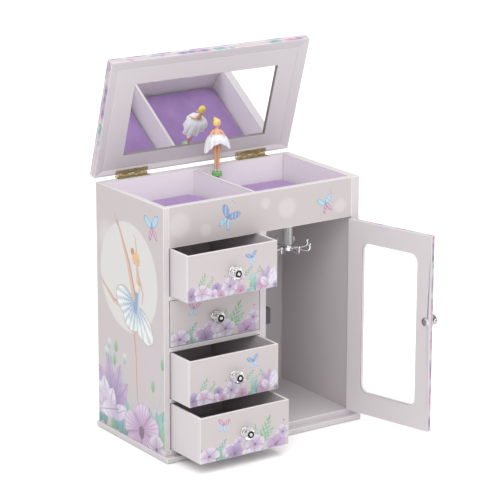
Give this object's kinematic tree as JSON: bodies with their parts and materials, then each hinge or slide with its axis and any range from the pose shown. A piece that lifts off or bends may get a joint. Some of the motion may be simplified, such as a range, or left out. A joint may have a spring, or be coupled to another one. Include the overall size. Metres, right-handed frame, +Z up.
{
  "type": "musical jewellery cabinet",
  "caption": "Musical jewellery cabinet with a mirrored lid, a turning dancer on a spring, drawers, a necklace carousel behind a windowed door and a wind-up movement.",
  "frame": {"origin": "centre of the body's footprint on the underside of the felt under the base plate", "axes": "+X to the right seen from the front, +Y to the back, +Z up"},
  "size_m": [0.2542, 0.2378, 0.3745],
  "materials": {
    "printed_board": "board wrapped in matt printed paper with a fine linen weave",
    "plain_board": "board wrapped in plain matt paper",
    "velvet": "short lilac pile",
    "felt": "felt",
    "antique_brass": "embossed, antique finish",
    "movement_brass": "turned, satin",
    "steel": "plated",
    "spring_steel": "blackened",
    "crystal": "clear moulded, polished facets",
    "mirror_glass": "polished",
    "window_pane": "clear sheet",
    "magnet": "dark moulded case",
    "green_plastic": "moulded",
    "doll_skin": "moulded and painted",
    "tulle": "stiff white net"
  },
  "bodies": {
    "cabinet": {"base_felt": "felt", "base_plate": "printed_board", "left_wall": "printed_board", "right_wall": "printed_board", "back_panel": "printed_board", "bottom_board": "plain_board", "partition": "plain_board", "shelf_1": "plain_board", "shelf_2": "plain_board", "shelf_3": "plain_board", "tray_board": "plain_board", "front_top_panel": "printed_board", "tray_divider": "plain_board", "left_tray_pad": "velvet", "right_tray_pad": "velvet", "door_magnet": "magnet", "lid_hinge_body_leaves": "antique_brass", "lid_hinge_body_screws": "antique_brass", "hinge_pins": "steel", "door_hinge_body_leaves": "antique_brass", "movement_cover": "plain_board", "movement_frame": "steel", "music_comb": "steel"},
    "cylinder": {"pinned_cylinder": "movement_brass"},
    "barrel": {"spring_barrel": "movement_brass"},
    "governor": {"governor_fan": "steel"},
    "spindle": {"output_spindle": "steel"},
    "winder": {"winding_arbor": "steel", "winding_key": "movement_brass"},
    "stop_pin": {"music_stop_pin": "steel"},
    "spring": {"dancer_spring": "spring_steel"},
    "dancer": {"dancer_stand": "green_plastic", "dancer_figure": "doll_skin", "dancer_skirt": "tulle"},
    "carousel": {"carousel_post": "crystal", "carousel_hooks": "steel"},
    "lid": {"lid_rim": "printed_board", "lid_top_board": "printed_board", "lid_panel": "plain_board", "lid_mirror": "mirror_glass", "lid_hinge_lid_leaves": "antique_brass", "lid_hinge_lid_screws": "antique_brass"},
    "door": {"door_panel": "printed_board", "door_lining": "plain_board", "door_window": "window_pane", "door_knob": "crystal", "door_strike": "steel", "door_hinge_door_leaves": "antique_brass"},
    "drawer_1": {"drawer_1_front": "printed_board", "drawer_1_tray": "printed_board", "drawer_1_knob": "crystal"},
    "drawer_2": {"drawer_2_front": "printed_board", "drawer_2_tray": "printed_board", "drawer_2_knob": "crystal"},
    "drawer_3": {"drawer_3_front": "printed_board", "drawer_3_tray": "printed_board", "drawer_3_knob": "crystal"},
    "drawer_4": {"drawer_4_front": "printed_board", "drawer_4_tray": "printed_board", "drawer_4_knob": "crystal"}
  },
  "joints": [
    {"name": "lid_hinge", "type": "hinge", "parent": "cabinet", "child": "lid", "pos_m": [0, 0.0623, 0.2515], "axis": [1, 0, 0], "range_deg": [0, 72.8]},
    {"name": "door_hinge", "type": "hinge", "parent": "cabinet", "child": "door", "pos_m": [0.104, -0.0613, 0.11], "axis": [0, 0, 1], "range_deg": [-105.5, 44.5]},
    {"name": "drawer_1_slide", "type": "slide", "parent": "cabinet", "child": "drawer_1", "axis": [0, -1, 0], "range_m": [-0.0298, 0.0552]},
    {"name": "drawer_2_slide", "type": "slide", "parent": "cabinet", "child": "drawer_2", "axis": [0, -1, 0], "range_m": [0, 0.085]},
    {"name": "drawer_3_slide", "type": "slide", "parent": "cabinet", "child": "drawer_3", "axis": [0, -1, 0], "range_m": [-0.0325, 0.0525]},
    {"name": "drawer_4_slide", "type": "slide", "parent": "cabinet", "child": "drawer_4", "axis": [0, -1, 0], "range_m": [-0.0505, 0.0345]},
    {"name": "carousel_spin", "type": "hinge", "parent": "cabinet", "child": "carousel", "pos_m": [0.06, -0.016, 0.19], "axis": [0, 0, 1], "continuous": true},
    {"name": "barrel_spin", "type": "hinge", "parent": "cabinet", "child": "barrel", "pos_m": [0.0435, 0.0385, 0.195], "axis": [0, 0, 1], "continuous": true},
    {"name": "cylinder_spin", "type": "hinge", "parent": "cabinet", "child": "cylinder", "pos_m": [0.0275, 0.0385, 0.195], "axis": [0, 0, 1], "continuous": true},
    {"name": "governor_spin", "type": "hinge", "parent": "cabinet", "child": "governor", "pos_m": [0.0275, 0.0485, 0.195], "axis": [0, 0, 1], "continuous": true},
    {"name": "spindle_spin", "type": "hinge", "parent": "cabinet", "child": "spindle", "pos_m": [0.0125, 0.0385, 0.21], "axis": [0, 0, 1], "continuous": true},
    {"name": "winding_turn", "type": "hinge", "parent": "cabinet", "child": "winder", "pos_m": [0.0435, 0.061, 0.193], "axis": [0, 1, 0], "continuous": true},
    {"name": "dancer_tilt", "type": "hinge", "parent": "cabinet", "child": "spring", "pos_m": [0.0125, 0.0385, 0.232], "axis": [1, 0, 0], "range_deg": [0, 77], "deforming": ["dancer_spring"]},
    {"name": "dancer_spin", "type": "hinge", "parent": "spring", "child": "dancer", "pos_m": [0.0125, 0.0385, 0.25], "axis": [0, 0, 1], "continuous": true},
    {"name": "stop_pin_slide", "type": "slide", "parent": "cabinet", "child": "stop_pin", "axis": [0, 0, -1], "range_m": [0, 0.0031]}
  ],
  "couplings": [
    {"joint": "cylinder_spin", "follows": "barrel_spin", "ratio": -2.2},
    {"joint": "spindle_spin", "follows": "barrel_spin", "ratio": 2.2},
    {"joint": "governor_spin", "follows": "barrel_spin", "ratio": 6.6},
    {"joint": "dancer_spin", "follows": "barrel_spin", "ratio": 2.2},
    {"joint": "dancer_tilt", "follows": "lid_hinge", "ratio": 1.044},
    {"joint": "stop_pin_slide", "follows": "lid_hinge", "m_per_rad": 0.002361}
  ]
}
